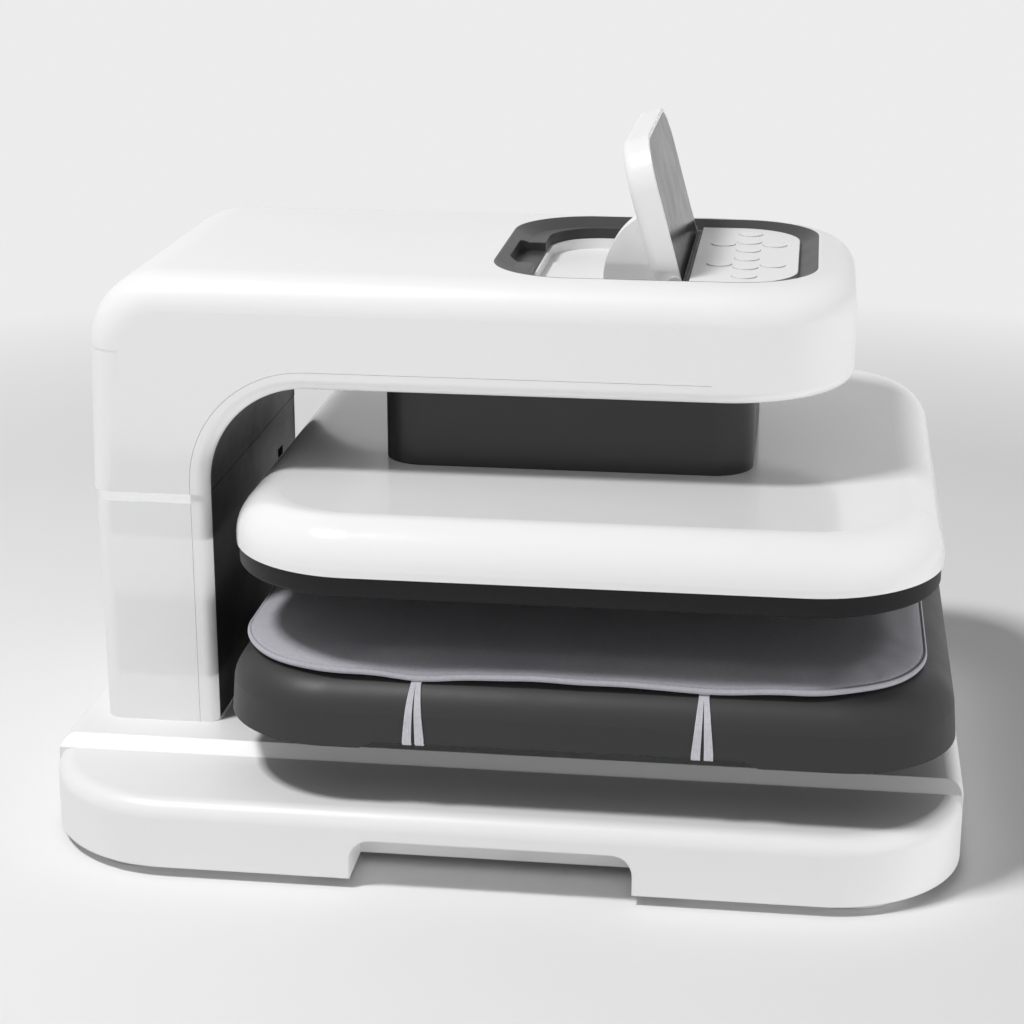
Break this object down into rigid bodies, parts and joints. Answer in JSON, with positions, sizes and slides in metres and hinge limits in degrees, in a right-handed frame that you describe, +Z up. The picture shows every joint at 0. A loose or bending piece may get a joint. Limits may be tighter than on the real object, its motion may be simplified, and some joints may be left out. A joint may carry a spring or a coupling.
{
  "type": "flat heat press",
  "caption": "C-shaped motor-driven flat heat press: white stand, glossy heated platen on a dark neck, pull-out padded tray with strap loops, flip-up display and key panel.",
  "frame": {"origin": "on the table, under the middle of the overall box", "axes": "+X to the front (display and drawer end), +Y to the far side, +Z up"},
  "size_m": [0.528, 0.43, 0.4001],
  "materials": {
    "white_gloss": "glossy white moulded plastic",
    "white_satin": "satin white moulded plastic",
    "dark_satin": "satin dark grey moulded plastic",
    "skirt_dark": "matt near-black heat-resistant plastic",
    "bright_trim": "polished",
    "steel": "brushed",
    "plate_coat": "dark non-stick coat",
    "plate_bare": "satin",
    "mica": "mica sheet",
    "wool": "pressed mineral wool",
    "bronze": "machined",
    "foot": "pale rubber",
    "belt": "toothed belt rubber",
    "motor_can": "painted",
    "board": "green circuit board",
    "black_plastic": "black",
    "rocker": "red",
    "screen": "dark glossy cover glass",
    "pad_cloth": "woven grey cloth over foam",
    "strap_cloth": "woven elastic"
  },
  "bodies": {
    "stand": {"base_shell": "white_satin", "base_bottom_plate": "white_satin", "foot_pads": "foot", "base_screws": "steel", "column_shell": "white_satin", "column_inner_frame": "white_satin", "column_trim_strip": "bright_trim", "column_inner_panel": "dark_satin", "arm_inner_liner": "dark_satin", "under_cover": "white_satin", "arm_shell": "white_satin", "column_frame": "steel", "arm_beam": "steel", "drive_motor": "motor_can", "drive_belt": "belt", "screw_bearing": "steel", "guide_rods": "steel", "power_board": "board", "power_inlet": "black_plastic", "switch_housing": "black_plastic", "recess_liner": "dark_satin", "display_seat": "white_satin", "display_hinge_pin": "steel", "button_panel": "white_satin", "circuit_board": "board", "fixed_rails": "steel"},
    "press": {"neck_shell": "dark_satin", "platen_cover": "white_gloss", "platen_skirt": "skirt_dark", "heating_plate": "plate_coat", "heater_sheet": "mica", "insulation_board": "wool", "platen_frame": "steel", "platen_posts": "steel", "lift_bracket": "steel", "screw_nut": "bronze", "guide_bushes": "bronze", "thermostat": "black_plastic"},
    "screw": {"lead_screw": "steel", "screw_pulley": "plate_bare"},
    "motor_drive": {"motor_pulley": "plate_bare"},
    "display": {"display_frame": "white_gloss", "display_glass": "screen"},
    "drawer": {"tray_shell": "dark_satin", "lower_plate": "plate_bare", "pressing_pad": "pad_cloth", "pad_straps": "strap_cloth", "moving_rails": "steel"},
    "mains_rocker": {"power_switch": "rocker"},
    "key_power": {"key_power": "white_satin"},
    "key_mode": {"key_mode": "white_satin"},
    "key_up": {"key_up": "white_satin"},
    "key_down": {"key_down": "white_satin"},
    "key_mid_1": {"key_mid_1": "white_satin"},
    "key_mid_2": {"key_mid_2": "white_satin"},
    "key_mid_3": {"key_mid_3": "white_satin"},
    "key_mid_4": {"key_mid_4": "white_satin"},
    "key_mid_5": {"key_mid_5": "white_satin"},
    "key_mid_6": {"key_mid_6": "white_satin"}
  },
  "joints": [
    {"name": "press_slide", "type": "slide", "parent": "stand", "child": "press", "axis": [0, 0, -1], "range_m": [0, 0.0372]},
    {"name": "screw_turn", "type": "hinge", "parent": "stand", "child": "screw", "pos_m": [-0.0135, 0, 0.26], "axis": [0, 0, 1], "range_deg": [-5, 900]},
    {"name": "motor_turn", "type": "hinge", "parent": "stand", "child": "motor_drive", "pos_m": [-0.1435, 0, 0.305], "axis": [0, 0, 1], "range_deg": [-5, 900]},
    {"name": "display_fold", "type": "hinge", "parent": "stand", "child": "display", "pos_m": [0.0905, 0, 0.32], "axis": [0, -1, 0], "range_deg": [0, 74]},
    {"name": "drawer_slide", "type": "slide", "parent": "stand", "child": "drawer", "axis": [1, 0, 0], "range_m": [0, 0.2]},
    {"name": "rocker_tip", "type": "hinge", "parent": "stand", "child": "mains_rocker", "pos_m": [-0.2411, 0.045, 0.0785], "axis": [0, 1, 0], "range_deg": [0, 9]},
    {"name": "key_power_press", "type": "slide", "parent": "stand", "child": "key_power", "axis": [0, 0, -1], "range_m": [0, 0.0007], "stiffness_N_per_m": 1400},
    {"name": "key_mode_press", "type": "slide", "parent": "stand", "child": "key_mode", "axis": [0, 0, -1], "range_m": [0, 0.0007], "stiffness_N_per_m": 1400},
    {"name": "key_up_press", "type": "slide", "parent": "stand", "child": "key_up", "axis": [0, 0, -1], "range_m": [0, 0.0007], "stiffness_N_per_m": 1400},
    {"name": "key_down_press", "type": "slide", "parent": "stand", "child": "key_down", "axis": [0, 0, -1], "range_m": [0, 0.0007], "stiffness_N_per_m": 1400},
    {"name": "key_mid_1_press", "type": "slide", "parent": "stand", "child": "key_mid_1", "axis": [0, 0, -1], "range_m": [0, 0.0007], "stiffness_N_per_m": 1400},
    {"name": "key_mid_2_press", "type": "slide", "parent": "stand", "child": "key_mid_2", "axis": [0, 0, -1], "range_m": [0, 0.0007], "stiffness_N_per_m": 1400},
    {"name": "key_mid_3_press", "type": "slide", "parent": "stand", "child": "key_mid_3", "axis": [0, 0, -1], "range_m": [0, 0.0007], "stiffness_N_per_m": 1400},
    {"name": "key_mid_4_press", "type": "slide", "parent": "stand", "child": "key_mid_4", "axis": [0, 0, -1], "range_m": [0, 0.0007], "stiffness_N_per_m": 1400},
    {"name": "key_mid_5_press", "type": "slide", "parent": "stand", "child": "key_mid_5", "axis": [0, 0, -1], "range_m": [0, 0.0007], "stiffness_N_per_m": 1400},
    {"name": "key_mid_6_press", "type": "slide", "parent": "stand", "child": "key_mid_6", "axis": [0, 0, -1], "range_m": [0, 0.0007], "stiffness_N_per_m": 1400}
  ],
  "couplings": [
    {"joint": "screw_turn", "follows": "press_slide", "rad_per_m": 314.16},
    {"joint": "motor_turn", "follows": "press_slide", "rad_per_m": 314.16}
  ]
}
